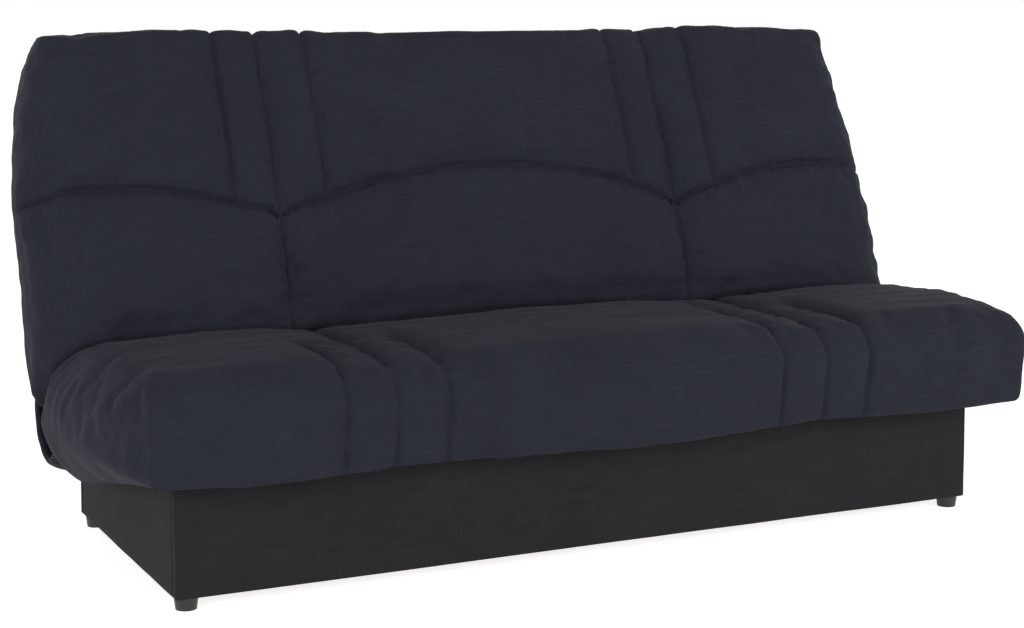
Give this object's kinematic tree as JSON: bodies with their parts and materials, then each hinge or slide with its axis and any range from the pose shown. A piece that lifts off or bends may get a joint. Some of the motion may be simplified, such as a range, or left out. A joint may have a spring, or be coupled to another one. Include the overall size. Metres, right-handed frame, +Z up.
{
  "type": "click clack sofa bed",
  "caption": "Click clack sofa bed: quilted seat and back fold flat into a bed over an upholstered storage box, on a sprung slatted steel frame with a ratchet hinge.",
  "frame": {"origin": "on the floor under the middle of the whole sofa", "axes": "+X along the length, towards the right end as seen from the front; -Y towards the front; +Z up"},
  "size_m": [1.9738, 0.9494, 1.0076],
  "materials": {
    "cover": "matt woven cloth",
    "box_cloth": "matt woven cloth",
    "foam": "open-cell foam",
    "black_steel": "satin black powder coat",
    "bare_steel": "zinc plated",
    "beech": "satin",
    "batten_wood": "raw pine",
    "hardboard": "smooth hardboard",
    "cap_plastic": "matt",
    "foot_plastic": "matt",
    "rubber": "matt"
  },
  "bodies": {
    "base": {"base_front_panel": "box_cloth", "base_rear_panel": "box_cloth", "base_end_panel_left": "box_cloth", "base_end_panel_right": "box_cloth", "floor_battens": "batten_wood", "base_floor_board": "hardboard", "foot_blocks": "batten_wood", "foot_front_left": "foot_plastic", "foot_rear_left": "foot_plastic", "foot_front_right": "foot_plastic", "foot_rear_right": "foot_plastic", "rest_pads": "rubber", "tip_bracket_left": "black_steel", "tip_bracket_right": "black_steel", "tip_pins": "bare_steel", "bracket_bolts": "bare_steel", "tip_bushes": "cap_plastic", "spring_anchors": "bare_steel", "tip_stops": "rubber", "tension_spring_left": "bare_steel", "tension_spring_right": "bare_steel"},
    "tip_plates": {"tip_plate_left": "black_steel", "tip_plate_right": "black_steel", "swing_pins": "bare_steel"},
    "swing_arms": {"swing_arm_left": "black_steel", "swing_arm_right": "black_steel", "hinge_pins": "bare_steel"},
    "seat_section": {"seat_near_tube": "black_steel", "seat_far_tube": "black_steel", "seat_side_left": "black_steel", "seat_side_right": "black_steel", "seat_slats": "beech", "seat_slat_caps": "cap_plastic", "seat_bolts": "bare_steel", "seat_arm_left": "black_steel", "seat_arm_right": "black_steel", "seat_cushion": "cover", "seat_foam": "foam", "seat_border_end": "cover", "seat_border_left": "cover", "seat_border_right": "cover", "mattress_fold": "cover", "fold_ends": "cover"},
    "back_section": {"back_near_tube": "black_steel", "back_far_tube": "black_steel", "back_side_left": "black_steel", "back_side_right": "black_steel", "back_slats": "beech", "back_slat_caps": "cap_plastic", "back_bolts": "bare_steel", "back_arm_left": "black_steel", "back_arm_right": "black_steel", "back_cushion": "cover", "back_foam": "foam", "back_border_end": "cover", "back_border_left": "cover", "back_border_right": "cover"},
    "pawls": {"pawl_left": "black_steel", "pawl_right": "black_steel"}
  },
  "joints": [
    {"name": "lift", "type": "hinge", "parent": "base", "child": "tip_plates", "pos_m": [0, 0.258, 0.15], "axis": [-1, 0, 0], "range_deg": [0, 18], "deforming": ["tension_spring_left", "tension_spring_right"]},
    {"name": "swing", "type": "hinge", "parent": "tip_plates", "child": "swing_arms", "pos_m": [0, 0.0064, 0.1126], "axis": [1, 0, 0], "range_deg": [0, 70.64]},
    {"name": "seat_tilt", "type": "hinge", "parent": "swing_arms", "child": "seat_section", "pos_m": [0, 0.137, 0.267], "axis": [1, 0, 0], "range_deg": [-68.34, 0]},
    {"name": "back_fold", "type": "hinge", "parent": "seat_section", "child": "back_section", "pos_m": [0, 0.137, 0.267], "axis": [1, 0, 0], "range_deg": [-69.8, 0], "deforming": ["mattress_fold", "fold_ends"]},
    {"name": "pawl", "type": "hinge", "parent": "back_section", "child": "pawls", "pos_m": [0, 0.1945, 0.25943], "axis": [1, 0, 0], "range_deg": [-13, 0]}
  ],
  "couplings": [
    {"joint": "seat_tilt", "follows": "swing", "ratio": -0.9674},
    {"joint": "back_fold", "follows": "swing", "ratio": -0.9881}
  ]
}
